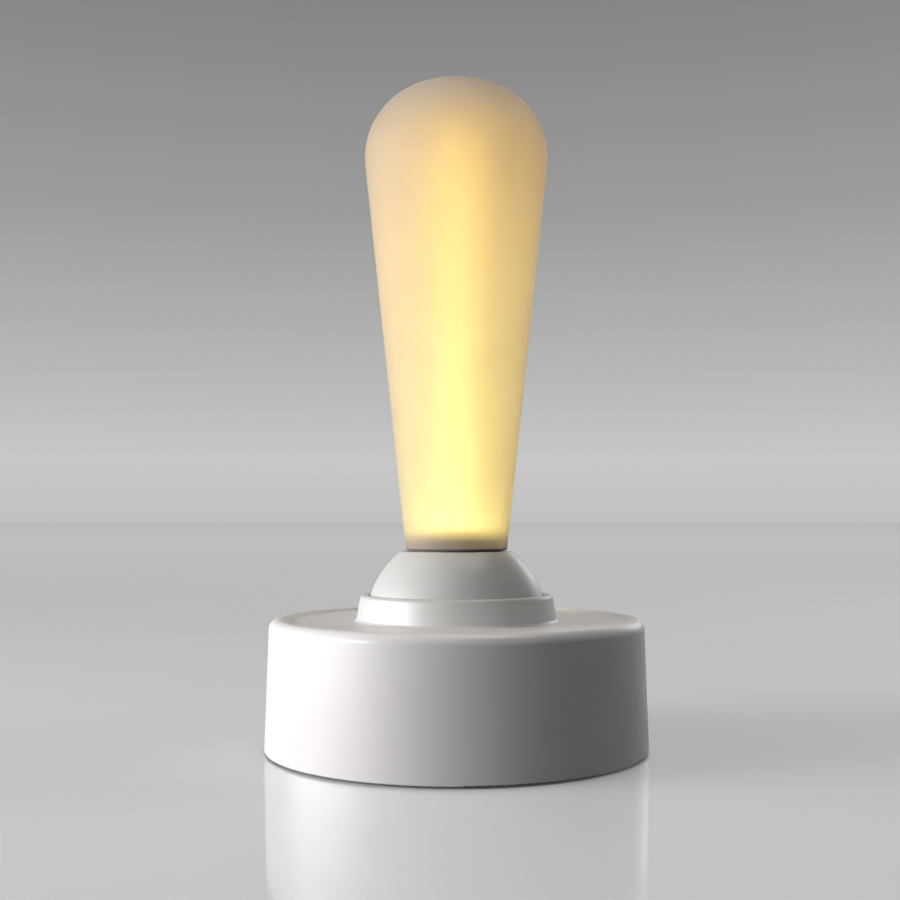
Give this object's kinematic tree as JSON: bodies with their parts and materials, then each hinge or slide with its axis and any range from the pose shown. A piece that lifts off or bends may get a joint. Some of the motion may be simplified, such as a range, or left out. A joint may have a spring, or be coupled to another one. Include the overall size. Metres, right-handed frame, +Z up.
{
  "type": "night light",
  "caption": "Rechargeable night light: a frosted, glowing club-shaped stem on a ball rocks sideways in a round white base to switch it, and springs back upright.",
  "frame": {"origin": "on the table, under the middle of the round base", "axes": "+Z up along the stem, +X to the right in the picture's view, -Y towards the viewer and +Y towards the back, where the charging inlet is"},
  "size_m": [0.075, 0.075, 0.1332],
  "materials": {
    "silicone": "matte",
    "clear_acrylic": "gloss",
    "white_socket": "satin",
    "board_white": "satin",
    "led_phosphor": "satin",
    "white_gloss": "gloss",
    "white_matte": "matte",
    "inner_plastic": "satin",
    "steel": "satin",
    "inlet_steel": "satin",
    "board_green": "satin",
    "chip_black": "satin",
    "capacitor_tan": "satin",
    "cell_foil": "satin",
    "tape_black": "matte",
    "lead_red": "satin",
    "lead_black": "satin",
    "foot_rubber": "matte"
  },
  "bodies": {
    "base": {"base_shell": "white_gloss", "collar_ring": "white_gloss", "pivot_frame": "inner_plastic", "frame_screws": "steel", "return_spring_front": "steel", "return_spring_rear": "steel", "main_board": "board_green", "board_screws": "steel", "board_chips": "chip_black", "board_coil": "chip_black", "board_capacitors": "capacitor_tan", "usb_socket": "inlet_steel", "usb_tongue": "chip_black", "switch_body": "inlet_steel", "battery": "cell_foil", "battery_tape": "tape_black", "battery_connector": "inner_plastic", "battery_lead_red": "lead_red", "battery_lead_black": "lead_black", "ballast_ring": "steel", "bottom_cover": "white_matte", "cover_screws": "steel", "foot_ring": "foot_rubber"},
    "lever": {"silicone_shade": "silicone", "light_guide": "clear_acrylic", "lamp_socket": "white_socket", "led_board": "board_white", "led_chips": "led_phosphor", "ball_dome": "white_gloss", "rocker_core": "inner_plastic", "lever_screws": "steel", "axle": "steel", "led_lead_red": "lead_red", "led_lead_black": "lead_black"},
    "slider": {"switch_slider": "chip_black"}
  },
  "joints": [
    {"name": "stem_rock", "type": "hinge", "parent": "base", "child": "lever", "pos_m": [0, 0, 0.0245], "axis": [0, 1, 0], "range_deg": [-15, 15], "stiffness_Nm_per_rad": 0.08, "deforming": ["return_spring_front", "return_spring_rear", "led_lead_red", "led_lead_black"]},
    {"name": "switch_slide", "type": "slide", "parent": "base", "child": "slider", "axis": [1, 0, 0], "range_m": [-0.0026, 0.0026]}
  ],
  "couplings": [
    {"joint": "switch_slide", "follows": "stem_rock", "m_per_rad": -0.0096}
  ]
}
